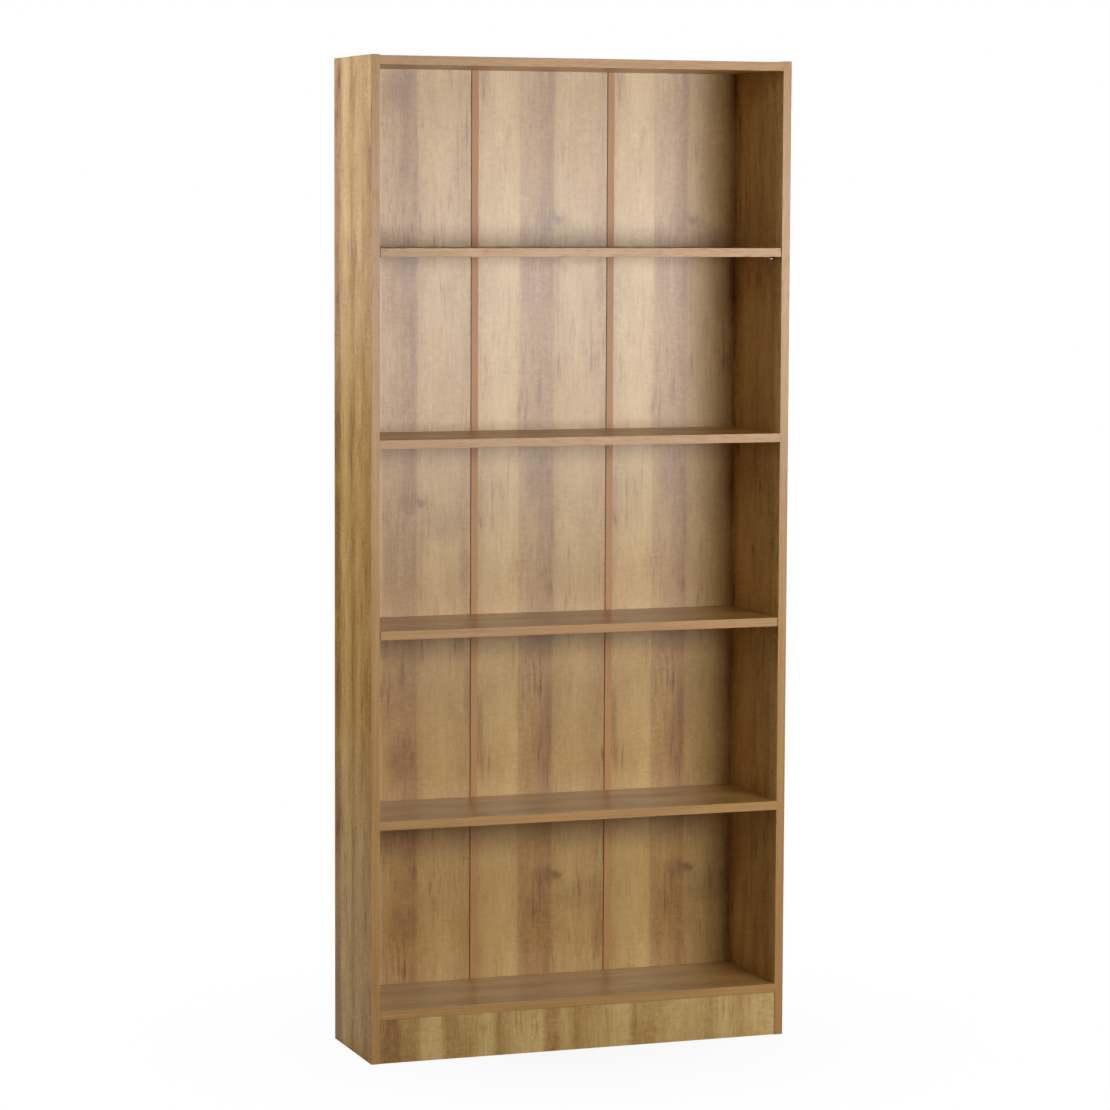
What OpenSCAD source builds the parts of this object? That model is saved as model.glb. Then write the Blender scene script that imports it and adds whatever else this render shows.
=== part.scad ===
// Tall open bookcase in oak-effect board, with two fixed and two adjustable shelves.
// Millimetres. Z is up, the open front faces -Y, and the origin is the middle of the footprint on the floor.

/* [Case] */
// Overall width of the case
case_w = 800; // [500:10:1200]
// Overall height of the sides
case_h = 1800; // [1400:10:2200]
// Overall depth of the sides, edging included
case_d = 230; // [180:5:400]
// Thickness of every board
board_t = 16; // [15:0.5:22]
// How far the top panel sits below the tops of the sides
top_drop = 1.5; // [0:0.5:20]

/* [Plinth] */
// Height of the plinth below the base panel
plinth_h = 80; // [70:5:150]
// Distance of the plinth's cams from its lower edge and of its dowels from its upper edge
plinth_fitting = 24; // [20:1:30]
// How far the plinth stands back from the front of the sides
plinth_setback = 2; // [0:0.5:30]

/* [Edging] */
// Thickness of the edging strip on the front edges
edging_t = 0.8; // [0.4:0.1:3]

/* [Shelves] */
// How much taller each bay is than the bay above it
bay_growth = 1.5; // [0:0.5:10]
// Gap at each end of an adjustable shelf
shelf_end_gap = 1; // [0.5:0.25:3]
// How far an adjustable shelf stands back from the front
shelf_setback = 1; // [0:0.5:20]
// Gap between an adjustable shelf and the joining strips behind it
shelf_rear_gap = 1.4; // [0.5:0.1:10]

/* [Shelf pins] */
// Diameter of the drilled pin holes
pin_hole_d = 5; // [4:0.5:7]
// Depth of the drilled pin holes
pin_hole_depth = 10; // [8:0.5:12]
// Gap all round a pin's stem in its hole
pin_clearance = 0.05; // [0.02:0.01:0.1]
// Length of a pin's stem
pin_stem_l = 8.5; // [6:0.5:10]
// Diameter of a pin's head
pin_head_d = 7; // [6:0.5:10]
// Length of a pin's head
pin_head_l = 8; // [5:0.5:14]
// Gap between a shelf and the pin heads under it
pin_seat_gap = 0.2; // [0.1:0.1:0.5]
// Distance of the front pins from the front of the case
pin_front = 37; // [25:1:60]
// Least distance of the rear pins from the back
pin_rear = 25; // [20:1:60]
// Spacing of the drilling, both between rows and from front to rear
pin_grid = 32; // [16:16:32]
// Rows of spare pin holes above the pins, and as many below
spare_rows = 2; // [1:1:3]

/* [Back] */
// Thickness of the back panels
back_t = 3; // [2.5:0.5:6]
// How far the joining strips stay inside the rear of the sides
strip_recess = 0.4; // [0.2:0.2:20]
// Width of the rebate that holds the back in each side
rebate_w = 8; // [5:0.5:12]
// Gap round the back panels in the rebates and in the strips
back_gap = 0.3; // [0.1:0.1:1]
// Distance of each joining strip from the middle of the case
strip_x = 133; // [90:1:200]
// Width of a joining strip
strip_w = 14; // [10:0.5:24]
// Thickness of a joining strip's flanges
strip_flange_t = 1; // [0.8:0.1:2]
// Thickness of a joining strip's web
strip_web_t = 1.2; // [0.8:0.1:3]
// Gap in front of and behind the panels inside a strip
strip_gap = 0.1; // [0.05:0.05:0.3]
// Gap round a strip in the notches of the boards
notch_gap = 0.4; // [0.2:0.1:2]
// Length of a back nail
nail_l = 20; // [15:1:25]
// Diameter of a back nail's shank
nail_d = 1.4; // [1.2:0.1:2]
// Diameter of a back nail's head
nail_head_d = 3.2; // [2.5:0.1:5]

/* [Cam fittings] */
// Diameter of a cam
cam_d = 15; // [12:0.5:20]
// Depth of a cam in its board
cam_depth = 12.5; // [11:0.5:14]
// Distance of a cam's centre from the end of its board
cam_reach = 34; // [24:1:40]
// Distance of the front cams from the front of the case
cam_front = 42; // [30:1:60]
// Distance of the rear cams from the back
cam_rear = 37.5; // [30:0.5:60]
// Diameter of a cam bolt's thread
bolt_thread_d = 5; // [4:0.5:6]
// Length of a cam bolt's thread
bolt_thread_l = 11; // [8:0.5:12]
// Diameter of a cam bolt's shank
bolt_shank_d = 7; // [6:0.5:8]
// Diameter of a cam bolt's neck
bolt_neck_d = 3.6; // [3:0.1:5]
// Gap all round a fitting in its hole
fitting_gap = 0.1; // [0.05:0.05:0.3]
// How far a cover cap reaches past its cam all round
cap_lap = 1.5; // [1:0.5:4]
// Thickness of the cover caps
cap_t = 0.8; // [0.5:0.1:2]

/* [Dowels] */
// Diameter of a dowel
dowel_d = 8; // [6:1:10]
// Length of a dowel
dowel_l = 30; // [25:1:40]
// Depth of a dowel in the side
dowel_side_l = 10; // [8:0.5:12]

/* [Hidden] */
$fn = 48;
// Overlap that keeps a cut from ending on a face
eps = 0.5;

// Colours
oak = "#b08d5e";
oak_edge = "#b98d60";
back_oak = "#b99c70";
strip_tan = "#b8875c";
steel = "#b9bbbd";
zinc = "#a7a9a6";
beech = "#d9b98a";
cap_tan = "#b58d5f";

// Case
inner_w = case_w - 2 * board_t;
front_y = -case_d / 2;
rear_y = case_d / 2;
back_y = rear_y - strip_recess - strip_flange_t - strip_gap - back_t;
base_top = plinth_h + board_t;
top_z = case_h - top_drop - board_t;
FRONT = 0;
REAR = 1;
LEFT = 1;
RIGHT = 0;

// Bays and shelves, counted from the top
shelf_count = 4;
bay_count = shelf_count + 1;
bay_sum = top_z - base_top - shelf_count * board_t;
growth_sum = bay_growth * bay_count * (bay_count - 1) / 2;
top_bay_h = (bay_sum - growth_sum) / bay_count;
function bay_h(i) = top_bay_h + (i - 1) * bay_growth;
// Underside of shelf i: the bays and shelves above it are taken off the underside of the top panel
function shelf_z(i) = i == 0 ? top_z : shelf_z(i - 1) - bay_h(i) - board_t;

// Undersides of the boards that are fixed to the sides
fixed_z = [top_z, shelf_z(2), shelf_z(4), plinth_h];
adjustable = [1, 3];
loose_w = inner_w - 2 * shelf_end_gap;
loose_front_y = front_y + shelf_setback;

// Pins
pin_steps = floor((back_y - pin_rear - front_y - pin_front) / pin_grid);
pin_y = [front_y + pin_front, front_y + pin_front + pin_steps * pin_grid];
function pin_z(i) = shelf_z(i) - pin_seat_gap - pin_head_d / 2;
pin_chamfer = 0.5;

// Back
strip_front_y = back_y - strip_gap - strip_flange_t;
strip_depth = back_t + 2 * strip_gap + 2 * strip_flange_t;
back_low = plinth_h + back_gap;
back_high = case_h - top_drop - back_gap;
panel_play = strip_web_t / 2 + back_gap;
middle_w = 2 * (strip_x - panel_play);
outer_w = inner_w / 2 + rebate_w - back_gap - strip_x - panel_play;
nail_head_t = 0.6;
nail_hole_gap = 0.05;
side_nail_count = 9;
side_nail_margin = 60;
side_nail_low = plinth_h + side_nail_margin;
side_nail_pitch = (case_h - side_nail_margin - side_nail_low) / (side_nail_count - 1);
nail_panel_margin = 45;

// Fittings
cam_y = [front_y + cam_front, back_y - cam_rear];
dowel_y = (cam_y[0] + cam_y[1]) / 2;
hole_end_gap = 1;
cam_slot_w = 1.4;
cam_slot_l = 8;
cam_slot_depth = 2;
bolt_head_l = 3;
bolt_neck_l = 5;
dowel_chamfer = 1;
plinth_mid_y = front_y + plinth_setback + board_t / 2;
plinth_cam_z = plinth_fitting;
plinth_dowel_z = plinth_h - plinth_fitting;
cap_d = cam_d + 2 * cap_lap;

// Round bar along +X from x = 0, with a chamfer on both ends
module bar(d, l, chamfer) {
    r = d / 2;
    rotate([0, 90, 0])
        rotate_extrude()
            polygon([[0, 0], [r - chamfer, 0], [r, chamfer], [r, l - chamfer], [r - chamfer, l], [0, l]]);
}

// Plain hole or rod along +X from x = 0
module rod(d, l) {
    rotate([0, 90, 0]) cylinder(d = d, h = l);
}

// Puts its children at both ends of a board: x = 0 is the side's inner face and +X goes into the side
module at_both_sides() {
    for (s = [LEFT, RIGHT])
        mirror([s, 0, 0]) translate([inner_w / 2, 0, 0]) children();
}

// Same, at the middle of the thickness of a level board with underside z, at each depth in ys
module at_board(z, ys, down = 0) {
    at_both_sides()
        for (y = ys)
            translate([0, y, z + board_t / 2]) mirror([0, 0, down]) children();
}

// Same, for the upright plinth, whose fittings open to the rear
module at_plinth(z) {
    at_both_sides() translate([0, plinth_mid_y, z]) rotate([-90, 0, 0]) children();
}

// Fittings, lying in the middle of a board that ends at x = 0, with the cam opening upwards
module cam() {
    body_h = cam_depth - fitting_gap;
    top_h = board_t / 2 - fitting_gap;
    translate([-cam_reach, 0, 0])
        difference() {
            translate([0, 0, top_h - body_h]) cylinder(d = cam_d - 2 * fitting_gap, h = body_h);
            rod(bolt_shank_d + 2 * fitting_gap, cam_d);
            for (turn = [45, 135])
                rotate([0, 0, turn])
                    translate([-cam_slot_l / 2, -cam_slot_w / 2, top_h - cam_slot_depth])
                        cube([cam_slot_l, cam_slot_w, cam_slot_depth + eps]);
        }
}

module cam_cut() {
    translate([-cam_reach, 0, board_t / 2 - cam_depth]) cylinder(d = cam_d, h = cam_depth + eps);
    translate([-cam_reach, 0, 0]) rod(bolt_shank_d + 2 * fitting_gap, cam_reach + eps);
}

module cam_bolt() {
    inside_l = cam_reach - fitting_gap;
    shank_l = inside_l - bolt_neck_l - bolt_head_l;
    rod(bolt_thread_d - 2 * fitting_gap, bolt_thread_l);
    translate([-shank_l, 0, 0]) rod(bolt_shank_d, shank_l);
    translate([-shank_l - bolt_neck_l, 0, 0]) rod(bolt_neck_d, bolt_neck_l);
    translate([-inside_l, 0, 0]) bar(bolt_shank_d, bolt_head_l, pin_chamfer);
}

module cam_cap() {
    translate([-cam_reach, 0, board_t / 2]) cylinder(d1 = cap_d, d2 = cap_d - cap_t, h = cap_t);
}

module dowel() {
    translate([dowel_side_l - dowel_l, 0, 0]) bar(dowel_d - 2 * fitting_gap, dowel_l, dowel_chamfer);
}

module dowel_cut() {
    board_l = dowel_l - dowel_side_l + hole_end_gap;
    translate([-board_l, 0, 0]) rod(dowel_d, board_l + eps);
}

// Holes drilled in the inner face of a side: bolts and dowels of the fixed boards, then the rows of pin holes
module side_drilling() {
    for (z = fixed_z) {
        for (y = cam_y)
            translate([-eps, y, z + board_t / 2]) rod(bolt_thread_d, bolt_thread_l + hole_end_gap + eps);
        translate([-eps, dowel_y, z + board_t / 2]) rod(dowel_d, dowel_side_l + hole_end_gap + eps);
    }
    translate([-eps, plinth_mid_y, plinth_cam_z]) rod(bolt_thread_d, bolt_thread_l + hole_end_gap + eps);
    translate([-eps, plinth_mid_y, plinth_dowel_z]) rod(dowel_d, dowel_side_l + hole_end_gap + eps);
    for (i = adjustable, y = pin_y, row = [-spare_rows : spare_rows])
        translate([-eps, y, pin_z(i) + row * pin_grid]) rod(pin_hole_d, pin_hole_depth + eps);
}

// Nails through the back. Every nail points along -Y, with its head on the back's rear face
module nail(gap = 0) {
    translate([0, back_y + back_t, 0]) {
        rotate([90, 0, 0]) cylinder(d = nail_d + 2 * gap, h = nail_l + (gap > 0 ? hole_end_gap : 0));
        rotate([-90, 0, 0]) cylinder(d = nail_head_d, h = nail_head_t);
    }
}

// Puts its children at each nail along the rebate of the right-hand side
module at_side_nails() {
    for (n = [0 : side_nail_count - 1])
        translate([inner_w / 2 + rebate_w / 2, 0, side_nail_low + n * side_nail_pitch]) children();
}

// Puts its children at the two nails of a panel from x = low to x = high in each fixed board
module at_board_nails(low, high) {
    for (z = fixed_z, x = [low + nail_panel_margin, high - nail_panel_margin])
        translate([x, 0, z + board_t / 2]) children();
}

// Puts its children at every nail that enters a level board
module at_all_board_nails() {
    inner_edge = strip_x + panel_play;
    at_board_nails(-middle_w / 2, middle_w / 2) children();
    for (s = [LEFT, RIGHT])
        mirror([s, 0, 0]) at_board_nails(inner_edge, inner_edge + outer_w) children();
}

// Side board at the right-hand end. The left side is its mirror image
module side_board() {
    color(oak)
        difference() {
            translate([inner_w / 2, front_y + edging_t, 0]) cube([board_t, case_d - edging_t, case_h]);
            translate([inner_w / 2 - eps, back_y, -eps])
                cube([rebate_w + eps, rear_y - back_y + eps, case_h + 2 * eps]);
            translate([inner_w / 2, 0, 0]) side_drilling();
            at_side_nails() nail(nail_hole_gap);
        }
}

module side_edging() {
    color(oak_edge) translate([inner_w / 2, front_y, 0]) cube([board_t, edging_t, case_h]);
}

// Level board fixed between the sides, with cam fittings that open upwards, or downwards when down = 1
module fixed_board(z, down) {
    color(oak)
        difference() {
            translate([-inner_w / 2, front_y + edging_t, z])
                cube([inner_w, back_y - front_y - edging_t, board_t]);
            at_board(z, cam_y, down) cam_cut();
            at_board(z, [dowel_y]) dowel_cut();
            for (x = [-strip_x, strip_x])
                translate([x - strip_w / 2 - notch_gap, strip_front_y - notch_gap, z - eps])
                    cube([strip_w + 2 * notch_gap, case_d, board_t + 2 * eps]);
            at_all_board_nails() nail(nail_hole_gap);
        }
}

module board_edging(z, w, y) {
    color(oak_edge) translate([-w / 2, y, z]) cube([w, edging_t, board_t]);
}

// Shelf that lies on pins
module loose_board(z) {
    loose_d = strip_front_y - shelf_rear_gap - loose_front_y - edging_t;
    color(oak) translate([-loose_w / 2, loose_front_y + edging_t, z]) cube([loose_w, loose_d, board_t]);
}

module plinth() {
    color(oak)
        difference() {
            translate([-inner_w / 2, front_y + plinth_setback, 0]) cube([inner_w, board_t, plinth_h]);
            at_plinth(plinth_cam_z) cam_cut();
            at_plinth(plinth_dowel_z) dowel_cut();
        }
}

// Back panel with its left edge at x
module back_panel(x, w) {
    color(back_oak)
        difference() {
            translate([x, back_y, back_low]) cube([w, back_t, back_high - back_low]);
            at_all_board_nails() nail(nail_hole_gap);
            for (s = [LEFT, RIGHT])
                mirror([s, 0, 0]) at_side_nails() nail(nail_hole_gap);
        }
}

// H-shaped strip that joins two back panels: a web between a front and a rear flange
module back_strip(x) {
    h = back_high - back_low;
    color(strip_tan)
        translate([x, strip_front_y, back_low]) {
            for (y = [0, strip_depth - strip_flange_t])
                translate([-strip_w / 2, y, 0]) cube([strip_w, strip_flange_t, h]);
            translate([-strip_web_t / 2, 0, 0]) cube([strip_web_t, strip_depth, h]);
        }
}

// Shelf pin at the right-hand end: the stem is in the side and the head is under the shelf
module shelf_pin(i, side, depth) {
    color(steel)
        mirror([side, 0, 0])
            translate([inner_w / 2, pin_y[depth], pin_z(i)]) {
                translate([-pin_chamfer, 0, 0])
                    bar(pin_hole_d - 2 * pin_clearance, pin_stem_l + pin_chamfer, pin_chamfer);
                translate([-pin_head_l, 0, 0]) bar(pin_head_d, pin_head_l, pin_chamfer);
            }
}

module back_nails_outer(side) {
    inner_edge = strip_x + panel_play;
    color(steel)
        mirror([side, 0, 0]) {
            at_side_nails() nail();
            at_board_nails(inner_edge, inner_edge + outer_w) nail();
        }
}

module back_nails_inner() color(steel) at_board_nails(-middle_w / 2, middle_w / 2) nail();

module cams(z, down) color(zinc) at_board(z, cam_y, down) cam();
module cam_bolts(z) color(steel) at_board(z, cam_y) cam_bolt();
module dowels(z) color(beech) at_board(z, [dowel_y]) dowel();
module cam_caps(z, down) color(cap_tan) at_board(z, cam_y, down) cam_cap();

// Boards
mirror([LEFT, 0, 0]) side_board();  // left_side
side_board();  // right_side
fixed_board(top_z, 0);  // top_panel
fixed_board(plinth_h, 1);  // base_panel
plinth();
loose_board(shelf_z(1));  // shelf_1
fixed_board(shelf_z(2), 1);  // shelf_2
loose_board(shelf_z(3));  // shelf_3
fixed_board(shelf_z(4), 1);  // shelf_4

// Edging
mirror([LEFT, 0, 0]) side_edging();  // left_side_edging
side_edging();  // right_side_edging
board_edging(top_z, inner_w, front_y);  // top_panel_edging
board_edging(plinth_h, inner_w, front_y);  // base_panel_edging
board_edging(shelf_z(1), loose_w, loose_front_y);  // shelf_1_edging
board_edging(shelf_z(2), inner_w, front_y);  // shelf_2_edging
board_edging(shelf_z(3), loose_w, loose_front_y);  // shelf_3_edging
board_edging(shelf_z(4), inner_w, front_y);  // shelf_4_edging

// Back
back_panel(-strip_x - panel_play - outer_w, outer_w);  // back_panel_left
back_panel(-middle_w / 2, middle_w);  // back_panel_middle
back_panel(strip_x + panel_play, outer_w);  // back_panel_right
back_strip(-strip_x);  // back_strip_left
back_strip(strip_x);  // back_strip_right
back_nails_outer(LEFT);  // back_nails_left
back_nails_inner();  // back_nails_middle
back_nails_outer(RIGHT);  // back_nails_right

// Shelf pins
shelf_pin(1, LEFT, FRONT);  // shelf_1_pin_front_left
shelf_pin(1, LEFT, REAR);  // shelf_1_pin_rear_left
shelf_pin(1, RIGHT, FRONT);  // shelf_1_pin_front_right
shelf_pin(1, RIGHT, REAR);  // shelf_1_pin_rear_right
shelf_pin(3, LEFT, FRONT);  // shelf_3_pin_front_left
shelf_pin(3, LEFT, REAR);  // shelf_3_pin_rear_left
shelf_pin(3, RIGHT, FRONT);  // shelf_3_pin_front_right
shelf_pin(3, RIGHT, REAR);  // shelf_3_pin_rear_right

// Cams
cams(top_z, 0);  // top_cams
cams(shelf_z(2), 1);  // shelf_2_cams
cams(shelf_z(4), 1);  // shelf_4_cams
cams(plinth_h, 1);  // base_cams
color(zinc) at_plinth(plinth_cam_z) cam();  // plinth_cams

// Cam bolts
cam_bolts(top_z);  // top_cam_bolts
cam_bolts(shelf_z(2));  // shelf_2_cam_bolts
cam_bolts(shelf_z(4));  // shelf_4_cam_bolts
cam_bolts(plinth_h);  // base_cam_bolts
color(steel) at_plinth(plinth_cam_z) cam_bolt();  // plinth_cam_bolts

// Dowels
dowels(top_z);  // top_dowels
dowels(shelf_z(2));  // shelf_2_dowels
dowels(shelf_z(4));  // shelf_4_dowels
dowels(plinth_h);  // base_dowels
color(beech) at_plinth(plinth_dowel_z) dowel();  // plinth_dowels

// Cover caps
cam_caps(top_z, 0);  // top_cam_caps
cam_caps(shelf_z(2), 1);  // shelf_2_cam_caps
cam_caps(shelf_z(4), 1);  // shelf_4_cam_caps
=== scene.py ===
"""Finishes and studio for the bookcase with adjustable shelves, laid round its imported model.

Every length is in metres in the model's own frame: the floor is z = 0, the front faces -Y and the
origin is in the middle of the footprint. Inside the shader graphs lengths are in millimetres.
"""

import math

import bmesh
import bpy
from mathutils import Matrix, Vector


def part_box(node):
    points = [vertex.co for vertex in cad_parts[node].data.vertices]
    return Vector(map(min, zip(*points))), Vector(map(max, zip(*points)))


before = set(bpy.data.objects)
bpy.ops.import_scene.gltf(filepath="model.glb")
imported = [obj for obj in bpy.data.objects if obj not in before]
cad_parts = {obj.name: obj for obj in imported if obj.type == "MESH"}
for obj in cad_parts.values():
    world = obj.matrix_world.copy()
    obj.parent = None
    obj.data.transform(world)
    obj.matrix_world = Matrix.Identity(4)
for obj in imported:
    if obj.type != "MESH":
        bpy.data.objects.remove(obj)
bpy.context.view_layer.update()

bl_info = {
    "name": "Bookcase With Adjustable Shelves",
    "version": (1, 0, 0),
    "blender": (4, 5, 0),
    "location": "View3D > Sidebar > Bookcase",
    "description": "Oak-effect boards, back, edging and fittings of a tall bookcase",
    "category": "Object",
}

MM = 1000.0

# Looks of faces and corners, as shares of the surface's normal.
FACE_EDGE = (0.45, 0.55)  # where one face's finish gives way to the next
CORNER_EDGE = (0.004, 0.08)  # where the wear of a small rounded corner starts and is full

# The oak print.
PRINT_SPAN = 0.77  # how far up the print's colours a tone of 1 reaches
STAIN_COVER = 0.62  # how much a full stain hides the print
STAIN_DARKER = 0.12  # and how much it darkens the tone under it
WORN_PALER = 0.10  # how much paler the rubbed corners are
TONE_LIFT = 0.035
PORE_DARKER, SPLIT_DARKER, BURN_DARKER = 0.08, 0.22, 0.42

# The back's joining strips and panels, in millimetres, apart from the corner in metres.
STRIP_HALF = 7.0  # half the width of a strip
STRIP_PAINTED_SHADOW = (0.8, 2.0)  # where the painted shadow line on a strip's left lip starts to fade and ends
STRIP_CORNER = 0.0001
LEFT_PANEL_SLIP = 520.0  # how far along the left panel's print is moved

# Eased corners.
WELD_GAP = 1e-6  # points closer than this are joined before the corners are eased
EASED_ANGLE = math.radians(40)  # corners flatter than this stay as they are

# The studio.
FLOOR_RADIUS = 60.0
FLOOR_FADE = (-3600.0, 900.0)  # millimetres from the middle where the floor's fade starts and ends
FLOOR_FLECKS = 0.22  # grey of the floor's second tone
SENSOR_WIDTH = 36.0
VIEW_DEPTH = (0.05, 200.0)

# Axes of the grain, the width and the thickness, as 0 for x, 1 for y and 2 for z.
SIDE_AXES = (2, 1, 0)
LEVEL_AXES = (0, 1, 2)
PLINTH_AXES = (2, 0, 1)
UPRIGHT_EDGING_AXES = (2, 0, 1)
LEVEL_EDGING_AXES = (0, 2, 1)

LEVEL_BOARDS = ("top_panel", "shelf_1", "shelf_2", "shelf_3", "shelf_4", "base_panel")
UPRIGHT_EDGING = ("left_side_edging", "right_side_edging")
BACK_PANELS = ("back_panel_left", "back_panel_middle", "back_panel_right")
BACK_STRIPS = ("back_strip_left", "back_strip_right")

# Tone along the width of each board, as (millimetres, tone from 0 dark red-brown to 1 pale straw).
# The back's print starts afresh at each joining strip.
BACK_REPEAT = 266.0
# The back's darker tone within about 20 mm of each strip's middle is painted shade of the gap
# beside the strip; the rest is the print.
BACK_BANDS_AND_STRIP_SHADE = (
    (0, 0.66), (10, 0.74), (22, 0.88), (40, 0.96), (58, 1.00), (74, 0.98), (85, 0.92), (89, 0.68),
    (106, 0.62), (120, 0.57), (130, 0.46), (152, 0.45), (158, 0.70), (172, 0.80), (198, 0.88),
    (222, 0.80), (246, 0.70), (266, 0.66),
)
PLINTH_BANDS = (
    (-384, 0.51), (-350, 0.41), (-342, 0.54), (-311, 0.58), (-303, 1.06), (-290, 1.14),
    (-270, 1.14), (-258, 0.65), (-232, 0.75), (-200, 0.85), (-178, 1.14), (-168, 0.99),
    (-158, 0.61), (-128, 1.13), (-108, 1.14), (-78, 1.14), (-66, 0.54), (-50, 0.48), (-38, 0.92),
    (-18, 0.96), (-5, 0.61), (30, 0.92), (72, 1.14), (92, 1.13), (106, 0.65), (132, 0.75),
    (172, 1.03), (205, 1.06), (250, 0.82), (290, 1.14), (316, 0.79), (345, 1.14),
)
LEFT_BANDS = (
    (-115, 0.55), (-90, 0.53), (-62, 0.59), (-44, 0.75), (-24, 0.73), (-8, 0.55), (2, 0.51),
    (14, 0.67), (32, 0.81), (54, 0.85), (70, 0.75), (80, 0.39), (100, 0.35), (115, 0.55),
)
RIGHT_BANDS = (
    (-115, 1.10), (-86, 0.98), (-76, 0.84), (-62, 0.88), (-50, 1.04), (-20, 0.94), (0, 0.86),
    (14, 1.04), (40, 1.10), (70, 1.10), (88, 0.98), (115, 0.80),
)
SHELF_BANDS = (
    (-115, 0.86), (-80, 0.74), (-52, 0.88), (-20, 0.98), (6, 0.76), (30, 0.66), (58, 0.86),
    (86, 0.78), (115, 0.66),
)

# Grain of the print, as (size across it, size along it, seed, noise detail, noise roughness).
# The sizes are in millimetres.
GRAIN = {
    "drift": (60.0, 340.0, 0.0, 1.0, 0.5),
    "blotch": (30.0, 120.0, 3.0, 3.0, 0.6),
    "streak": (7.0, 170.0, 7.0, 2.0, 0.5),
    "fibre": (3.0, 42.0, 11.0, 3.0, 0.65),
    "fine": (2.0, 9.0, 19.0, 2.0, 0.6),
    "silk": (15.0, 5.5, 23.0, 3.0, 0.6),
    "silk_patch": (60.0, 110.0, 5.0, 2.0, 0.5),
    "burn": (6.0, 75.0, 53.0, 3.0, 0.6),
    "burn_patch": (42.0, 150.0, 59.0, 2.0, 0.5),
    "pore": (1.5, 15.0, 29.0, 1.0, 0.5),
    "split": (2.2, 38.0, 37.0, 1.0, 0.5),
    "split_patch": (34.0, 90.0, 41.0, 2.0, 0.5),
}

# Ragged stains and knots, as (place across the grain, place along it, half width, half height,
# depth from 0 to 1). All but the depth are in millimetres.
# The back's print is pressed from a roller, so its marks come again further up.
BACK_ROLL = 1228.0
BACK_MARKS = (
    (165, 284, 9, 7, 1.00), (146, 282, 26, 15, 0.50), (120, 236, 2.5, 38, 0.55),
    (214, 244, 42, 26, 0.40), (104, 180, 12, 70, 0.36), (249, 160, 8, 38, 0.50),
    (146, 560, 5, 75, 0.45), (131, 724, 22, 26, 0.50), (14, 566, 5, 44, 0.50),
    (150, 824, 5, 10, 0.50), (122, 1041, 20, 32, 0.45), (13, 1019, 6, 30, 0.45),
    (154, 936, 3, 32, 0.45), (256, 1150, 6, 52, 0.45), (124, 1196, 5, 22, 0.45),
)
LEFT_MARKS = (
    (92, 985, 9, 26, 0.60), (6, 1480, 5, 60, 0.45), (10, 1120, 4, 90, 0.45), (2, 720, 4, 70, 0.45),
    (20, 505, 7, 20, 0.40), (-52, 1380, 6, 16, 0.35), (4, 300, 4, 80, 0.45),
)
RIGHT_MARKS = (
    (8, 892, 7, 10, 0.80), (-18, 668, 7, 9, 0.75), (40, 1400, 8, 18, 0.50), (30, 250, 8, 14, 0.50),
)
SHELF_MARKS = (
    (-30, 120, 8, 30, 0.45), (50, -240, 7, 26, 0.45), (10, -60, 5, 40, 0.30),
)
PLINTH_MARKS = (
    (-190, 52, 5, 8, 0.35), (150, 26, 5, 7, 0.35),
)

# Each soft box's name, place, point it is aimed at, width and height, and the setting of its power.
SOFT_BOXES = (
    ("right_soft_box", (1.18, -3.20, 1.34), (0.0, 0.0, 1.25), (1.60, 1.00), "right_power"),
    ("left_soft_box", (-2.75, 0.33, 2.20), (-0.40, 0.15, 1.90), (1.3, 0.8), "left_power"),
    ("front_soft_box", (-1.00, -2.60, 2.80), (0.0, 0.0, 1.20), (0.9, 0.8), "front_power"),
    ("left_rear_soft_box", (-1.70, 3.40, 1.70), (-0.40, 0.0, 1.20), (1.0, 1.2), "left_rear_power"),
    ("rear_soft_box", (0.90, 3.60, 2.00), (0.0, 0.10, 1.00), (1.8, 1.4), "rear_power"),
    ("right_side_soft_box", (2.80, 1.00, 1.50), (0.40, 0.15, 1.00), (1.3, 1.0), "side_power"),
    ("overhead_soft_box", (0.0, 0.60, 3.10), (0.0, 0.15, 1.80), (1.6, 0.9), "overhead_power"),
)


class Term:
    """One output of a shader node. Arithmetic on it adds Math nodes."""

    def __init__(self, graph, socket):
        self.graph = graph
        self.socket = socket

    def math(self, operation, *values, clamp=False):
        return self.graph.add(
            "ShaderNodeMath", {"operation": operation, "use_clamp": clamp}, dict(enumerate(values))
        )

    def __add__(self, other):
        return self.math("ADD", self, other)

    __radd__ = __add__

    def __sub__(self, other):
        return self.math("SUBTRACT", self, other)

    def __rsub__(self, other):
        return self.math("SUBTRACT", other, self)

    def __mul__(self, other):
        return self.math("MULTIPLY", self, other)

    __rmul__ = __mul__

    def __truediv__(self, other):
        return self.math("DIVIDE", self, other)

    def __pow__(self, other):
        return self.math("POWER", self, other)

    def __gt__(self, other):
        return self.math("GREATER_THAN", self, other)

    def __lt__(self, other):
        return self.math("LESS_THAN", self, other)

    def __abs__(self):
        return self.math("ABSOLUTE", self)

    def __mod__(self, other):
        """The remainder, which is never below 0."""
        return self.math("FLOORED_MODULO", self, other)

    def most(self, other):
        return self.math("MAXIMUM", self, other)

    def limited(self):
        return self.math("ADD", self, 0.0, clamp=True)

    def smooth(self, low, high):
        """0 at low and under, 1 at high and over, with an easy rise between."""
        return self.graph.add(
            "ShaderNodeMapRange",
            {"interpolation_type": "SMOOTHSTEP", "clamp": True},
            {0: self, 1: low, 2: high, 3: 0.0, 4: 1.0},
        )


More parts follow.
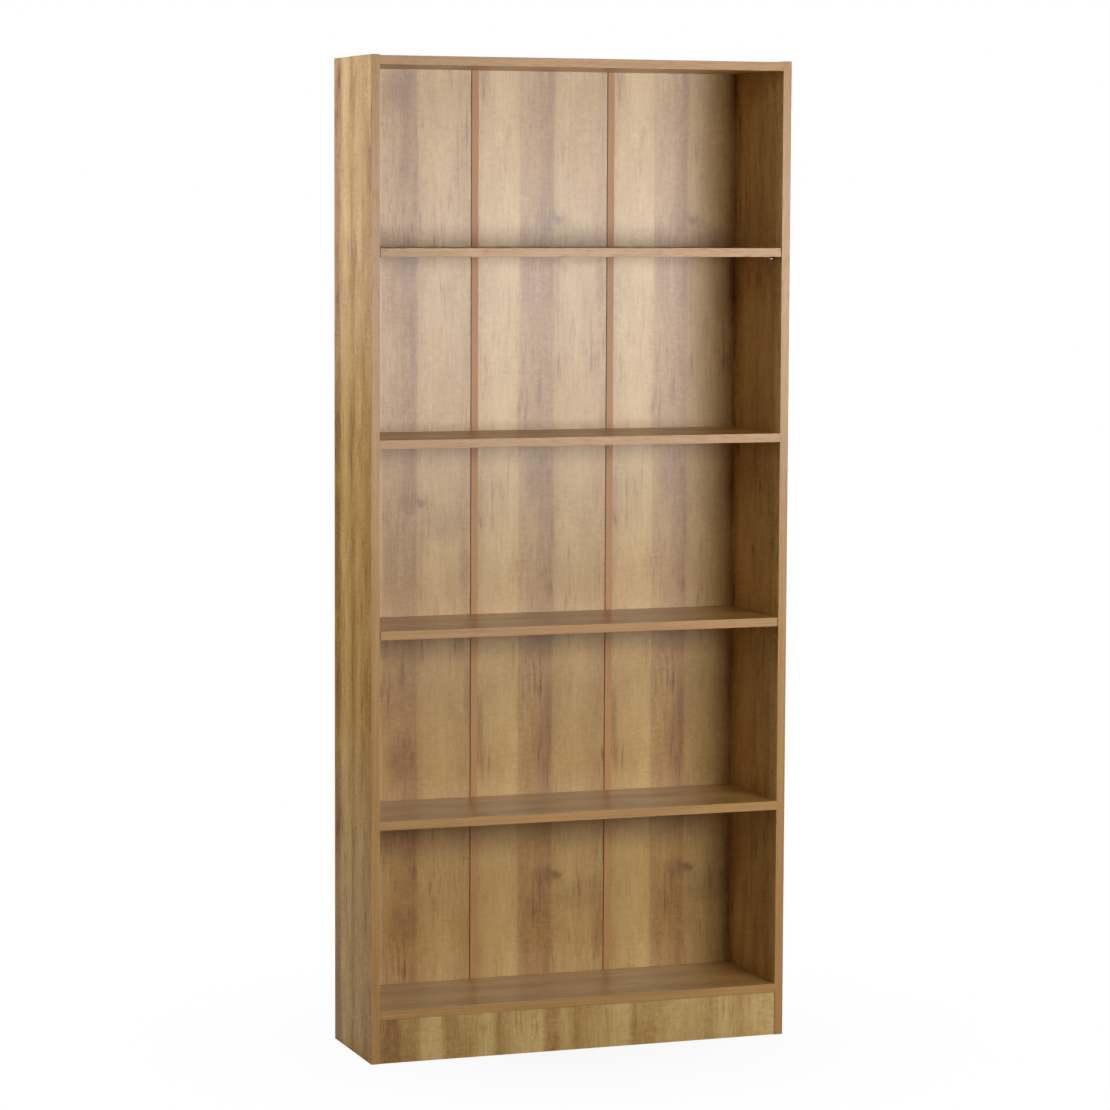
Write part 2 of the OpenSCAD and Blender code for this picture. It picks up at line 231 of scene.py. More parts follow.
class Graph:
    """The node tree of one material or, where kind says so, of a background."""

    def __init__(self, name, kind="materials"):
        self.owner = getattr(bpy.data, kind).new(name)
        self.owner.use_nodes = True
        self.tree = self.owner.node_tree
        self.tree.nodes.clear()

    def add(self, kind, settings=None, inputs=None, output=0):
        """Adds a node, its settings first and then its sockets, and returns one of its outputs."""
        node = self.tree.nodes.new(kind)
        for key, value in (settings or {}).items():
            if key == "stops":
                ramp = node.color_ramp
                while len(ramp.elements) > 1:
                    ramp.elements.remove(ramp.elements[-1])
                ramp.elements[0].position = value[0][0]
                ramp.elements[0].color = value[0][1]
                for position, colour in value[1:]:
                    ramp.elements.new(position).color = colour
            else:
                setattr(node, key, value)
        for key, value in (inputs or {}).items():
            if isinstance(value, Term):
                self.tree.links.new(value.socket, node.inputs[key])
            else:
                node.inputs[key].default_value = value
        return Term(self, node.outputs[output]) if len(node.outputs) > output else None

    def split(self, vector):
        first = self.add("ShaderNodeSeparateXYZ", None, {0: vector})
        return tuple(Term(self, socket) for socket in first.socket.node.outputs)

    def place(self):
        """The point's x, y and z in millimetres."""
        point = self.add("ShaderNodeTexCoord", output=3)
        scaled = self.add("ShaderNodeVectorMath", {"operation": "SCALE"}, {0: point, "Scale": MM})
        return self.split(scaled)

    def facing(self):
        """The surface normal's x, y and z."""
        return self.split(self.add("ShaderNodeTexCoord", output=1))

    def noise(self, x, y, z, detail=2.0, rough=0.5, distortion=0.0):
        """Noise of about one blob per unit of the coordinates, from 0 to 1."""
        point = self.add("ShaderNodeCombineXYZ", None, {0: x, 1: y, 2: z})
        return self.add(
            "ShaderNodeTexNoise",
            {"noise_dimensions": "3D", "normalize": True},
            {
                "Vector": point, "Scale": 1.0,
                "Detail": detail, "Roughness": rough, "Distortion": distortion,
            },
        )

    def ramp(self, value, stops):
        """A colour, or a grey tone, that runs straight from stop to stop."""
        return self.add("ShaderNodeValToRGB", {"stops": stops}, {0: value})

    def mix(self, factor, first, second):
        """The first colour where factor is 0, the second where it is 1."""
        return self.add(
            "ShaderNodeMix",
            {"data_type": "RGBA", "clamp_factor": True},
            {0: factor, 6: first, 7: second},
            output=2,
        )

    def bump(self, height, distance):
        return self.add(
            "ShaderNodeBump", None, {"Strength": 1.0, "Distance": distance, "Height": height}
        )

    def finish(self, colour, roughness, normal, **constants):
        """Ends the tree with one Principled surface.

        The names of the constants are the sockets' names, with _ for a space.
        """
        sockets = {"Base Color": colour, "Roughness": roughness, "Normal": normal}
        for key, value in constants.items():
            sockets[key.replace("_", " ")] = value
        surface = self.add("ShaderNodeBsdfPrincipled", None, sockets)
        self.add("ShaderNodeOutputMaterial", None, {"Surface": surface})
        return self.owner


def grey(level):
    return (level, level, level, 1.0)


def solid(colour):
    return (*colour[:3], 1.0)


def band_tone(graph, across, bands):
    """The tone of the plank at a distance across the board."""
    low, high = bands[0][0], bands[-1][0]
    stops = [((at - low) / (high - low), grey(tone)) for at, tone in bands]
    return graph.ramp((across - low) / (high - low), stops)


def marks_depth(graph, across, along, marks, layer):
    """How deep the stains and knots are at a point, from 0 to about 1, with ragged rims."""
    ragged = (graph.noise(across / 3.6, along / 15.0, layer, detail=3.0, rough=0.65) - 0.5) * 4.0
    bend = (graph.noise(across / 18.0, along / 30.0, layer + 3.0, detail=2.0) - 0.5) * 12.0
    streak = graph.noise(across / 2.4, along / 30.0, layer + 6.0, detail=2.0) * 1.5
    depth = 0.0
    for at, height, wide, tall, strength in marks:
        side, rise = (across + bend - at) / wide, (along + bend * 1.5 - height) / tall
        reach = side * side + rise * rise
        depth = (1.0 - (reach + ragged).smooth(-0.8, 3.0)) * strength + depth
    return depth * (streak + 0.2)


def oak_tones(finish):
    """The stops of the print's colours, from cracks to the palest straw."""
    return [
        (0.0, solid(finish.crack)),
        (0.17, solid(finish.dark)),
        (0.45, solid(finish.middle)),
        (0.77, solid(finish.pale)),
        (1.0, solid(finish.palest)),
    ]


def oak_print(graph, along, across, deep, bands, marks, seed, figure=1.0):
    """Tone, stain, emboss height and pores of printed oak whose grain runs along one axis.

    figure scales the contrast of the grain within the planks.
    """
    layer = deep * 0.02 + seed

    def grain(name, across=across):
        wide, long, shift, detail, rough = GRAIN[name]
        return graph.noise(across / wide, along / long, layer + shift, detail=detail, rough=rough)

    drift = (grain("drift") - 0.5) * 6.0
    tone = band_tone(graph, across + drift, bands)
    place = across + drift * 2.5
    blotch, streak, fibre, fine, silk = (
        grain(name, place) - 0.5 for name in ("blotch", "streak", "fibre", "fine", "silk")
    )
    silk = silk * (grain("silk_patch", place).smooth(0.40, 0.62) + 0.35)
    burn = grain("burn", place).smooth(0.48, 0.74) * grain("burn_patch", place).smooth(0.48, 0.66)
    pore = grain("pore", place).smooth(0.58, 0.74)
    split = grain("split", place).smooth(0.68, 0.78)
    split = split * grain("split_patch", place).smooth(0.48, 0.62)
    figured = blotch * 0.60 + streak * 0.17 + fibre * 0.34 + fine * 0.40 + silk * 0.34
    lines = pore * PORE_DARKER + split * SPLIT_DARKER + burn * BURN_DARKER
    tone = tone + (figured - lines + TONE_LIFT) * figure
    stain = marks_depth(graph, place, along, marks, layer + 47.0)
    height = fibre * 0.5 + fine * 0.6 - pore * 0.9 - split * 0.8
    return tone - stain * STAIN_DARKER, stain.limited(), height, pore


def oak_colour(graph, finish, tone, stain):
    """Print colour of a tone, greyed and darkened where it is stained."""
    face = graph.ramp((tone * PRINT_SPAN).limited(), oak_tones(finish))
    return graph.mix((stain * STAIN_COVER).limited(), face, solid(finish.stain))


def chipboard(graph, x, y, z, finish):
    """Colour of the raw particleboard that shows at unlaminated edges and in drilled holes."""
    point = graph.add("ShaderNodeCombineXYZ", None, {0: x * 0.45, 1: y * 0.45, 2: z * 0.45})
    chips = graph.add(
        "ShaderNodeTexVoronoi", {"feature": "F1"}, {"Vector": point, "Scale": 1.0}, output=1
    )
    chip, _, shade = graph.split(chips)
    dust = graph.noise(x / 0.8, y / 0.8, z / 0.8, detail=2.0)
    level = (chip * 0.55 + shade * 0.2 + dust * 0.35).limited()
    return graph.ramp(
        level,
        [
            (0.0, solid(finish.chip_dark)),
            (0.45, solid(finish.chip_middle)),
            (1.0, solid(finish.chip_pale)),
        ],
    )


def corner_mask(nx, ny, nz):
    """1 on the small rounded corners between faces, 0 on the faces."""
    return (1.0 - abs(nx).most(abs(ny)).most(abs(nz))).smooth(*CORNER_EDGE)


def board_material(name, axes, bands, marks, seed, figure=1.0, edge_banded_top=False):
    """Melamine-faced board, printed on its two broad faces and raw at its edges.

    figure scales the contrast of the grain within the planks.
    """
    finish = bpy.context.scene.bookcase_oak
    graph = Graph(name)
    place, normal = graph.place(), graph.facing()
    along, across, deep = (place[i] for i in axes)
    tone, stain, height, pore = oak_print(graph, along, across, deep, bands, marks, seed, figure)
    worn = corner_mask(*normal)
    face = oak_colour(graph, finish, tone + worn * WORN_PALER, stain)
    raw = 1.0 - abs(normal[axes[2]]).smooth(*FACE_EDGE)
    if edge_banded_top:
        raw = raw * (1.0 - normal[2].smooth(*FACE_EDGE))
    colour = graph.mix(raw, face, chipboard(graph, *place, finish))
    roughness = (1.0 - tone.limited()) * 0.05 + pore * 0.06 + raw * 0.35 + finish.roughness
    chips = graph.noise(*(distance / 1.4 for distance in place))
    pressed = graph.bump(height * (1.0 - raw) + raw * chips, finish.emboss)
    return graph.finish(colour, roughness, pressed, Specular_IOR_Level=finish.shine)


def edging_material(name, axes, seed):
    """Oak-effect edging strip: close straight lines along the strip."""
    finish = bpy.context.scene.bookcase_edging
    graph = Graph(name)
    place, normal = graph.place(), graph.facing()
    along, across, deep = (place[i] for i in axes)
    layer = deep * 0.05 + seed
    line = graph.noise(across / 0.9, along / 160.0, layer, detail=3.0, rough=0.6) - 0.5
    broad = graph.noise(across / 4.0, along / 300.0, layer + 5.0, detail=2.0) - 0.5
    dash = graph.noise(across / 0.6, along / 22.0, layer + 9.0, detail=1.0).smooth(0.60, 0.74)
    cloud = graph.noise(across / 30.0, along / 220.0, layer + 13.0) - 0.5
    worn = corner_mask(*normal)
    tone = 0.5 + line * 0.75 + broad * 0.45 + cloud * 0.35 - dash * 0.22 + worn * 0.16
    stops = [(0.0, solid(finish.dark)), (0.5, solid(finish.middle)), (1.0, solid(finish.pale))]
    colour = graph.ramp(tone.limited(), stops)
    roughness = finish.roughness + dash * 0.10 - worn * 0.08
    return graph.finish(
        colour, roughness, graph.bump(line - dash, finish.emboss), Specular_IOR_Level=finish.shine
    )


def back_material():
    """Printed hardboard: oak print to the front, bare brown fibre to the rear."""
    oak, finish = bpy.context.scene.bookcase_oak, bpy.context.scene.bookcase_back
    graph = Graph("back_board_oak_print")
    x, y, z = graph.place()
    _, facing_y, _ = graph.facing()
    strip_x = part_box("back_strip_right")[0].x * MM + STRIP_HALF
    across = (x + strip_x) % BACK_REPEAT
    along = z + (x < -strip_x) * LEFT_PANEL_SLIP
    marks = BACK_MARKS + tuple((at, up + BACK_ROLL, *rest) for at, up, *rest in BACK_MARKS)
    tone, stain, height, pore = oak_print(graph, along, across, y, BACK_BANDS_AND_STRIP_SHADE, marks, seed=3.0)
    face = oak_colour(graph, oak, tone, stain)
    bare = 1.0 - (0.0 - facing_y).smooth(*FACE_EDGE)
    felt = graph.noise(x / 1.6, y / 1.6, z / 1.6, detail=3.0, rough=0.65)
    fleck = graph.noise(x / 5.0, y / 5.0, z / 3.2, detail=2.0, distortion=1.2)
    fibre = graph.ramp(
        (felt * 0.6 + fleck * 0.4).limited(),
        [
            (0.25, solid(finish.fibre_dark)),
            (0.5, solid(finish.fibre_middle)),
            (0.8, solid(finish.fibre_pale)),
        ],
    )
    colour = graph.mix(bare, face, fibre)
    roughness = oak.roughness + (1.0 - tone.limited()) * 0.04 + pore * 0.05 + bare * 0.38
    pressed = graph.bump(height * (1.0 - bare) + (felt + fleck) * bare, oak.emboss)
    return graph.finish(colour, roughness, pressed, Specular_IOR_Level=oak.shine)


def strip_material():
    """Extruded plastic joining strip, tan, with faint draw lines along it and a painted shadow line
    on its left lip.
    """
    finish = bpy.context.scene.bookcase_back
    graph = Graph("strip_tan_plastic")
    x, y, z = graph.place()
    draw = graph.noise(x / 0.5, z / 260.0, y / 0.5, detail=2.0) - 0.5
    cloud = graph.noise(x / 20.0, y / 20.0, z / 140.0) - 0.5
    worn = corner_mask(*graph.facing())
    tone = (0.5 + draw * 0.5 + cloud * 0.6 + worn * 0.25).limited()
    face = graph.ramp(tone, [(0.0, solid(finish.strip_dark)), (1.0, solid(finish.strip_pale))])
    left_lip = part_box("back_strip_right")[0].x * MM
    mirrored = 2.0 * (left_lip + STRIP_HALF) - abs(x)
    from_middle = abs(x) * (x > 0.0) + mirrored * (x < 0.0)
    # Painted shadow: a dark line on each strip's left lip stands in for the shade beside it.
    lip = 1.0 - from_middle.smooth(left_lip + STRIP_PAINTED_SHADOW[0], left_lip + STRIP_PAINTED_SHADOW[1])
    colour = graph.mix(lip * 0.85, face, solid(finish.strip_painted_shadow))
    drawn = graph.bump(draw, 0.00004)
    return graph.finish(colour, 0.44 + draw * 0.12, drawn, Specular_IOR_Level=0.35)


def metal_material(name, bright, dull, patch_size, line_sizes, roughness, speck_size):
    """Cast, plated or drawn metal: fine grain, dull patches and rubbed corners.

    The sizes are in millimetres. line_sizes gives one for each axis.
    """
    graph = Graph(name)
    x, y, z = graph.place()
    speck = graph.noise(x / speck_size, y / speck_size, z / speck_size, detail=3.0, rough=0.6) - 0.5
    patch = graph.noise(x / patch_size, y / patch_size, z / patch_size).smooth(0.42, 0.68)
    drawn = graph.noise(x / line_sizes[0], y / line_sizes[1], z / line_sizes[2], detail=1.0) - 0.5
    worn = corner_mask(*graph.facing())
    dulled = (patch * 0.7 - worn * 0.4 + speck * 0.5).limited()
    colour = graph.mix(dulled, solid(bright), solid(dull))
    rough = patch * 0.16 + speck * 0.20 + drawn * 0.14 - worn * 0.08 + roughness
    return graph.finish(colour, rough.limited(), graph.bump(speck + drawn, 0.00003), Metallic=1.0)


def dowel_material():
    """Turned beech dowel: short ray flecks, pale and dry."""
    finish = bpy.context.scene.bookcase_fittings
    graph = Graph("dowel_beech")
    x, y, z = graph.place()
    line = graph.noise(x / 24.0, y / 0.8, z / 0.8, detail=3.0, rough=0.6) - 0.5
    fleck = graph.noise(x / 2.6, y / 0.5, z / 0.5, detail=1.0).smooth(0.62, 0.74)
    colour = graph.ramp(
        (0.5 + line * 1.1 - fleck * 0.3).limited(),
        [(0.0, solid(finish.beech_dark)), (1.0, solid(finish.beech_pale))],
    )
    return graph.finish(colour, 0.62 + line * 0.2, graph.bump(line - fleck, 0.00006))


def cap_material():
    """Moulded plastic cover cap, tan, with a faint satin texture."""
    finish = bpy.context.scene.bookcase_fittings
    graph = Graph("cap_tan_plastic")
    x, y, z = graph.place()
    satin = graph.noise(x / 0.35, y / 0.35, z / 0.35, detail=2.0) - 0.5
    cloud = graph.noise(x / 9.0, y / 9.0, z / 9.0) - 0.5
    worn = corner_mask(*graph.facing())
    tone = (0.5 + satin * 0.35 + cloud * 0.6 + worn * 0.25).limited()
    colour = graph.ramp(tone, [(0.0, solid(finish.cap_dark)), (1.0, solid(finish.cap_pale))])
    return graph.finish(colour, 0.42 + satin * 0.2, graph.bump(satin, 0.00003))


def colour_property(name, description, default):
    return bpy.props.FloatVectorProperty(
        name=name, description=description, subtype="COLOR", size=3, min=0.0, max=1.0,
        default=default,
    )


def share_property(name, description, default):
    return bpy.props.FloatProperty(
        name=name, description=description, subtype="FACTOR", min=0.0, max=1.0, default=default
    )


def length_property(name, description, default):
    return bpy.props.FloatProperty(
        name=name, description=description, unit="LENGTH", min=0.0, precision=5, default=default
    )


def angle_property(name, description, degrees):
    return bpy.props.FloatProperty(
        name=name, description=description, subtype="ANGLE", default=math.radians(degrees)
    )


def power_property(name, description, default):
    return bpy.props.FloatProperty(
        name=name, description=description, unit="POWER", min=0.0, default=default
    )


class OakFinish(bpy.types.PropertyGroup):
    """Printed oak melamine on boards and back."""

    palest: colour_property("Palest", "Palest flecks of the print", (0.74, 0.507, 0.200))
    pale: colour_property("Pale", "Straw bands of the print", (0.605, 0.391, 0.137))
    middle: colour_property("Middle", "Middle tan of the print", (0.444, 0.241, 0.069))
    dark: colour_property("Dark", "Red-brown bands of the print", (0.262, 0.110, 0.023))
    crack: colour_property("Crack", "Cracks and the eyes of knots", (0.10, 0.037, 0.010))
    stain: colour_property("Stain", "Dark brown of stains and knots", (0.164, 0.064, 0.015))
    chip_pale: colour_property(
        "Pale chips", "Palest chips of raw particleboard", (0.55, 0.41, 0.25)
    )
    chip_middle: colour_property(
        "Middle chips", "Middle chips of raw particleboard", (0.38, 0.25, 0.13)
    )
    chip_dark: colour_property(
        "Dark chips", "Darkest chips of raw particleboard", (0.15, 0.085, 0.04)
    )
    roughness: share_property("Roughness", "Roughness of the melamine face", 0.33)
    shine: share_property("Shine", "Specular level of the melamine face", 0.6)
    emboss: length_property("Emboss", "Depth of the pressed grain", 0.000025)
    corner: length_property("Corner", "Width of the boards' eased corners", 0.00025)


class EdgingFinish(bpy.types.PropertyGroup):
    """Oak-effect edging strips on the front edges."""

    pale: colour_property("Pale", "Pale lines of the edging", (0.69, 0.395, 0.146))
    middle: colour_property("Middle", "Middle tan of the edging", (0.53, 0.280, 0.094))
    dark: colour_property("Dark", "Dark lines of the edging", (0.32, 0.148, 0.044))
    roughness: share_property("Roughness", "Roughness of the edging", 0.34)
    shine: share_property("Shine", "Specular level of the edging", 0.4)
    emboss: length_property("Emboss", "Depth of the edging's lines", 0.00008)
    corner: length_property("Corner", "Width of the edging's rounded corners", 0.0004)


class BackFinish(bpy.types.PropertyGroup):
    """Bare rear of the back board, its joining strips and nails."""

    fibre_pale: colour_property(
        "Pale fibre", "Pale fibres of the bare hardboard", (0.36, 0.235, 0.135)
    )
    fibre_middle: colour_property(
        "Middle fibre", "Brown of the bare hardboard", (0.235, 0.145, 0.078)
    )
    fibre_dark: colour_property(
        "Dark fibre", "Dark flecks of the bare hardboard", (0.13, 0.075, 0.038)
    )
    strip_pale: colour_property(
        "Pale strip", "Pale tone of the joining strips", (0.62, 0.325, 0.120)
    )
    strip_dark: colour_property(
        "Dark strip", "Dark tone of the joining strips", (0.48, 0.235, 0.082)
    )
    # Painted shadow: the dark line that stands in for the shade along each strip's left lip.
    strip_painted_shadow: colour_property(
        "Strip line", "Shadowed line along the strips' left lip", (0.085, 0.032, 0.010)
    )
    steel: colour_property("Nail steel", "Bright steel of the nails", (0.56, 0.55, 0.53))
    steel_dull: colour_property("Dull steel", "Dull patches of the nails", (0.34, 0.32, 0.30))


class FittingFinish(bpy.types.PropertyGroup):
    """Shelf pins, cams, bolts, dowels and cover caps."""

    nickel: colour_property("Nickel", "Bright nickel of the shelf pins", (0.70, 0.66, 0.60))
    nickel_dull: colour_property(
        "Dull nickel", "Dull patches of the shelf pins", (0.48, 0.44, 0.39)
    )
    zinc: colour_property("Zinc", "Cast zinc of the cams", (0.52, 0.53, 0.55))
    zinc_dull: colour_property("Dull zinc", "Dull patches of the cams", (0.33, 0.34, 0.36))
    beech_pale: colour_property("Pale beech", "Pale lines of the dowels", (0.68, 0.50, 0.31))
    beech_dark: colour_property("Dark beech", "Dark lines of the dowels", (0.45, 0.29, 0.155))
    cap_pale: colour_property("Pale cap", "Pale tone of the cover caps", (0.56, 0.36, 0.18))
    cap_dark: colour_property("Dark cap", "Dark tone of the cover caps", (0.42, 0.25, 0.115))
    corner: length_property("Corner", "Width of the fittings' eased corners", 0.0002)


class StudioLight(bpy.types.PropertyGroup):
    """Camera, floor, background and soft boxes."""

    lens: bpy.props.FloatProperty(
        name="Lens", description="Focal length on a 36 mm sensor", unit="CAMERA",
        default=123.1, min=10.0,
    )
    yaw: angle_property("Yaw", "Camera turned from +Y towards +X", 19.71)
    pitch: angle_property("Pitch", "Camera tilted up", -5.32)
    roll: angle_property("Roll", "Camera turned about its view", 0.25)
    position: bpy.props.FloatVectorProperty(
        name="Camera position", description="Where the camera stands", subtype="TRANSLATION",
        default=(-2.352, -6.529, 1.544),
    )
    floor: colour_property("Floor", "Matt tone of the floor", (0.24, 0.24, 0.24))
    ambient: bpy.props.FloatProperty(
        name="Ambient", description="Strength of the light from all round", default=0.01, min=0.0
    )
    right_power: power_property(
        "Right light", "Soft box to the right of the front, the main light", 74.0
    )
    left_power: power_property("Left light", "Soft box off the left side", 66.0)
    front_power: power_property("Front light", "Weak soft box in front", 8.0)
    left_rear_power: power_property("Left rear light", "Weak soft box behind the left side", 4.5)
    rear_power: power_property("Rear light", "Soft box behind, for the bare rear", 105.0)
    side_power: power_property("Right side light", "Soft box off the right side", 30.0)
    overhead_power: power_property("Overhead light", "Soft box over the top panel", 24.0)


def dress(names, material, corner=0.0):
    """Gives nodes a material and, where corner isn't 0, eased corners."""
    for name in names:
        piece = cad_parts[name]
        piece.data.materials.clear()
        piece.data.materials.append(material)
        if corner:
            weld = piece.modifiers.new("joined_faces", "WELD")
            weld.merge_threshold = WELD_GAP
            bevel = piece.modifiers.new("eased_corners", "BEVEL")
            bevel.width = corner
            bevel.segments = 2
            bevel.limit_method = "ANGLE"
            bevel.angle_limit = EASED_ANGLE
            bevel.harden_normals = True


def nodes_with(word):
    return [name for name in sorted(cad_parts) if word in name]


class BOOKCASE_OT_sides(bpy.types.Operator):
    """Give the two full-height sides their oak print, raw rear edges and edge-banded tops"""

    bl_idname = "bookcase.sides"
    bl_label = "Sides"

    def execute(self, context):
        corner = context.scene.bookcase_oak.corner
        left = board_material(
            "oak_left_side", SIDE_AXES, LEFT_BANDS, LEFT_MARKS,
            seed=1.0, figure=1.7, edge_banded_top=True,
        )
        right = board_material(
            "oak_right_side", SIDE_AXES, RIGHT_BANDS, RIGHT_MARKS,
            seed=2.0, figure=2.1, edge_banded_top=True,
        )
        dress(["left_side"], left, corner)
        dress(["right_side"], right, corner)
        return {"FINISHED"}


class BOOKCASE_OT_level_boards(bpy.types.Operator):
    """Give the top, the four shelves and the base their oak print, with its grain along them"""

    bl_idname = "bookcase.level_boards"
    bl_label = "Top, shelves and base"

    def execute(self, context):
        material = board_material(
            "oak_level_boards", LEVEL_AXES, SHELF_BANDS, SHELF_MARKS, seed=5.0
        )
        dress(LEVEL_BOARDS, material, context.scene.bookcase_oak.corner)
        return {"FINISHED"}


class BOOKCASE_OT_plinth(bpy.types.Operator):
    """Give the plinth its oak print, with the grain upright"""

    bl_idname = "bookcase.plinth"
    bl_label = "Plinth"

    def execute(self, context):
        material = board_material(
            "oak_plinth", PLINTH_AXES, PLINTH_BANDS, PLINTH_MARKS, seed=9.0, figure=1.35
        )
        dress(["plinth"], material, context.scene.bookcase_oak.corner)
        return {"FINISHED"}


class BOOKCASE_OT_edging(bpy.types.Operator):
    """Give the front edges their edging strips' close lines"""

    bl_idname = "bookcase.edging"
    bl_label = "Edging"

    def execute(self, context):
        corner = context.scene.bookcase_edging.corner
        upright = edging_material("edging_upright", UPRIGHT_EDGING_AXES, seed=1.0)
        across = edging_material("edging_level", LEVEL_EDGING_AXES, seed=6.0)
        dress(UPRIGHT_EDGING, upright, corner)
        level = [name for name in nodes_with("_edging") if name not in UPRIGHT_EDGING]
        dress(level, across, corner)
        return {"FINISHED"}


class BOOKCASE_OT_back(bpy.types.Operator):
    """Give the back panels their print and bare rear, and the strips and nails their finish"""

    bl_idname = "bookcase.back"
    bl_label = "Back, strips and nails"

    def execute(self, context):
        finish = context.scene.bookcase_back
        dress(BACK_PANELS, back_material())
        dress(BACK_STRIPS, strip_material(), STRIP_CORNER)
        nail = metal_material(
            "nail_steel", finish.steel, finish.steel_dull,
            patch_size=2.0, line_sizes=(9.0, 9.0, 9.0), roughness=0.34, speck_size=0.4,
        )
        dress(nodes_with("back_nails"), nail)
        return {"FINISHED"}


class BOOKCASE_OT_shelf_pins(bpy.types.Operator):
    """Give the shelf pins their nickel plating"""

    bl_idname = "bookcase.shelf_pins"
    bl_label = "Shelf pins"

    def execute(self, context):
        finish = context.scene.bookcase_fittings
        material = metal_material(
            "pin_nickel", finish.nickel, finish.nickel_dull,
            patch_size=3.0, line_sizes=(0.3, 8.0, 8.0), roughness=0.24, speck_size=0.5,
        )
        dress(nodes_with("_pin_"), material, finish.corner)
        return {"FINISHED"}


class BOOKCASE_OT_fixings(bpy.types.Operator):
    """Give the cams, cam bolts, dowels and cover caps their finish"""

    bl_idname = "bookcase.fixings"
    bl_label = "Cams, bolts, dowels and caps"

    def execute(self, context):
        finish = context.scene.bookcase_fittings
        nails = context.scene.bookcase_back
        cam = metal_material(
            "cam_zinc", finish.zinc, finish.zinc_dull,
            patch_size=4.0, line_sizes=(12.0, 12.0, 12.0), roughness=0.44, speck_size=0.3,
        )
        bolt = metal_material(
            "bolt_steel", nails.steel, nails.steel_dull,
            patch_size=3.0, line_sizes=(0.4, 6.0, 6.0), roughness=0.30, speck_size=0.5,
        )
        dress(nodes_with("_cams"), cam, finish.corner)
        dress(nodes_with("_cam_bolts"), bolt)
        dress(nodes_with("_dowels"), dowel_material(), finish.corner)
        dress(nodes_with("_cam_caps"), cap_material(), finish.corner)
        return {"FINISHED"}


def floor_material(studio):
    """Pale floor that, to the camera, fades into the background as it leaves the bookcase."""
    graph = Graph("pale_floor")
    x, y, _ = graph.place()
    far = ((x * x + y * y) ** 0.5).smooth(*FLOOR_FADE)
    grain = graph.noise(x / 3.0, y / 3.0, 0.0, detail=3.0) - 0.5
    tone = solid(studio.floor)
    speckled = graph.mix(0.5 + grain * 0.2, tone, grey(FLOOR_FLECKS))
    matt = graph.add("ShaderNodeBsdfDiffuse", None, {"Color": speckled})
    glow = graph.add("ShaderNodeEmission", None, {"Color": grey(1.0), "Strength": 1.0})
    seen = graph.add("ShaderNodeLightPath")
    surface = graph.add("ShaderNodeMixShader", None, {0: seen * far, 1: matt, 2: glow})
    graph.add("ShaderNodeOutputMaterial", None, {"Surface": surface})
    return graph.owner


def make_floor(studio):
    mesh = bpy.data.meshes.new("studio_floor")
    shape = bmesh.new()
    bmesh.ops.create_circle(shape, cap_ends=True, radius=FLOOR_RADIUS, segments=96)
    shape.to_mesh(mesh)
    shape.free()
    floor = bpy.data.objects.new("studio_floor", mesh)
    bpy.context.scene.collection.objects.link(floor)
    mesh.materials.append(floor_material(studio))


def make_background(studio):
    """White to the camera, and a dim grey light from all round to everything else."""
    graph = Graph("studio_background", "worlds")
    seen = graph.add("ShaderNodeLightPath")
    dim = graph.add("ShaderNodeBackground", None, {"Color": grey(1.0), "Strength": studio.ambient})
    white = graph.add("ShaderNodeBackground", None, {"Color": grey(1.0), "Strength": 1.0})
    both = graph.add("ShaderNodeMixShader", None, {0: seen, 1: dim, 2: white})
    graph.add("ShaderNodeOutputWorld", None, {"Surface": both})
    bpy.context.scene.world = graph.owner


def make_light(name, place, target, size, power):
    """A rectangular soft box aimed at a point, hidden from the camera."""
    data = bpy.data.lights.new(name, "AREA")
    data.shape = "RECTANGLE"
    data.size, data.size_y = size
    data.energy = power
    light = bpy.data.objects.new(name, data)
    bpy.context.scene.collection.objects.link(light)
    light.location = place
    light.rotation_mode = "QUATERNION"
    light.rotation_quaternion = (Vector(target) - Vector(place)).to_track_quat("-Z", "Y")
    light.visible_camera = False


def make_camera(studio):
    yaw, pitch, roll = studio.yaw, studio.pitch, studio.roll
    level = math.cos(pitch)
    ahead = Vector((math.sin(yaw) * level, math.cos(yaw) * level, math.sin(pitch)))
    right = Vector((math.cos(yaw), -math.sin(yaw), 0.0))
    up = right.cross(ahead)
    turned_right = right * math.cos(roll) + up * math.sin(roll)
    turned_up = up * math.cos(roll) - right * math.sin(roll)
    data = bpy.data.cameras.new("studio_camera")
    data.sensor_width = SENSOR_WIDTH
    data.lens = studio.lens
    data.clip_start, data.clip_end = VIEW_DEPTH
    camera = bpy.data.objects.new("studio_camera", data)
    bpy.context.scene.collection.objects.link(camera)
    turn = Matrix((turned_right, turned_up, -ahead)).transposed().to_4x4()
    camera.matrix_world = Matrix.Translation(Vector(studio.position)) @ turn
    bpy.context.scene.camera = camera


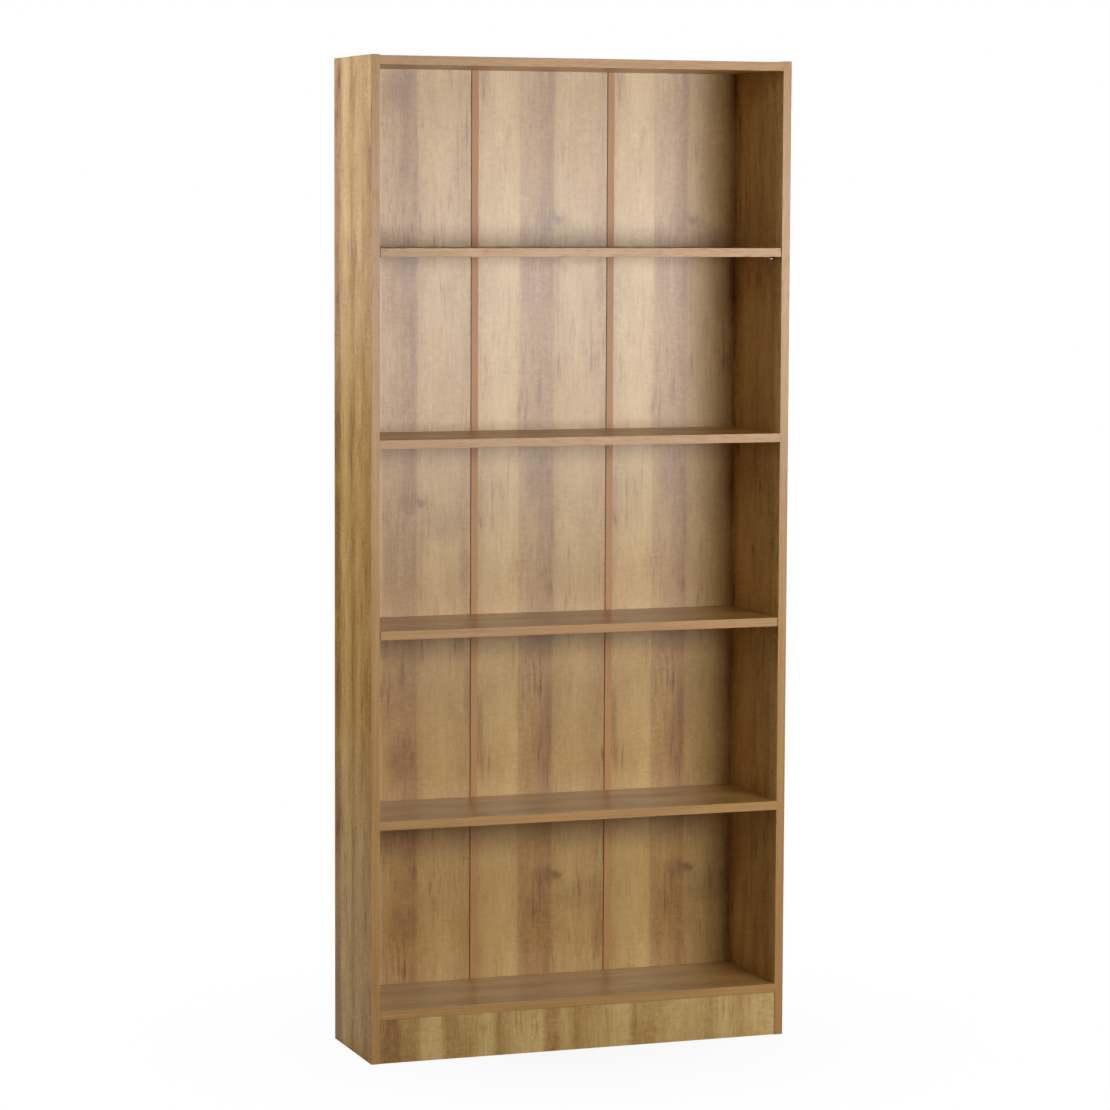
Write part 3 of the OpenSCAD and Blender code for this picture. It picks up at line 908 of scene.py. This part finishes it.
class BOOKCASE_OT_studio(bpy.types.Operator):
    """Lay the pale floor and set the background, the soft boxes and the camera"""

    bl_idname = "bookcase.studio"
    bl_label = "Studio"

    def execute(self, context):
        studio = context.scene.bookcase_studio
        make_floor(studio)
        make_background(studio)
        for name, place, target, size, power in SOFT_BOXES:
            make_light(name, place, target, size, getattr(studio, power))
        make_camera(studio)
        view = context.scene.view_settings
        view.view_transform = "Standard"
        view.look = "None"
        return {"FINISHED"}


OPERATORS = (
    BOOKCASE_OT_sides,
    BOOKCASE_OT_level_boards,
    BOOKCASE_OT_plinth,
    BOOKCASE_OT_edging,
    BOOKCASE_OT_back,
    BOOKCASE_OT_shelf_pins,
    BOOKCASE_OT_fixings,
    BOOKCASE_OT_studio,
)
SETTINGS = {
    "bookcase_oak": OakFinish,
    "bookcase_edging": EdgingFinish,
    "bookcase_back": BackFinish,
    "bookcase_fittings": FittingFinish,
    "bookcase_studio": StudioLight,
}


class BOOKCASE_PT_panel(bpy.types.Panel):
    """Sidebar panel with the finishes and the steps that lay them on"""

    bl_idname = "BOOKCASE_PT_panel"
    bl_label = "Bookcase"
    bl_space_type = "VIEW_3D"
    bl_region_type = "UI"
    bl_category = "Bookcase"

    def draw(self, context):
        layout = self.layout
        for key, group in SETTINGS.items():
            box = layout.box()
            box.label(text=key.replace("_", " ").capitalize())
            for name in group.__annotations__:
                box.prop(getattr(context.scene, key), name)
        for operator in OPERATORS:
            layout.operator(operator.bl_idname)


def register():
    for group in SETTINGS.values():
        bpy.utils.register_class(group)
    for operator in OPERATORS:
        bpy.utils.register_class(operator)
    bpy.utils.register_class(BOOKCASE_PT_panel)
    for key, group in SETTINGS.items():
        setattr(bpy.types.Scene, key, bpy.props.PointerProperty(type=group))


def unregister():
    for key in SETTINGS:
        delattr(bpy.types.Scene, key)
    bpy.utils.unregister_class(BOOKCASE_PT_panel)
    for operator in reversed(OPERATORS):
        bpy.utils.unregister_class(operator)
    for group in reversed(SETTINGS.values()):
        bpy.utils.unregister_class(group)


def main():
    register()
    for operator in OPERATORS:
        family, name = operator.bl_idname.split(".")
        getattr(getattr(bpy.ops, family), name)()


if __name__ == "__main__":
    main()
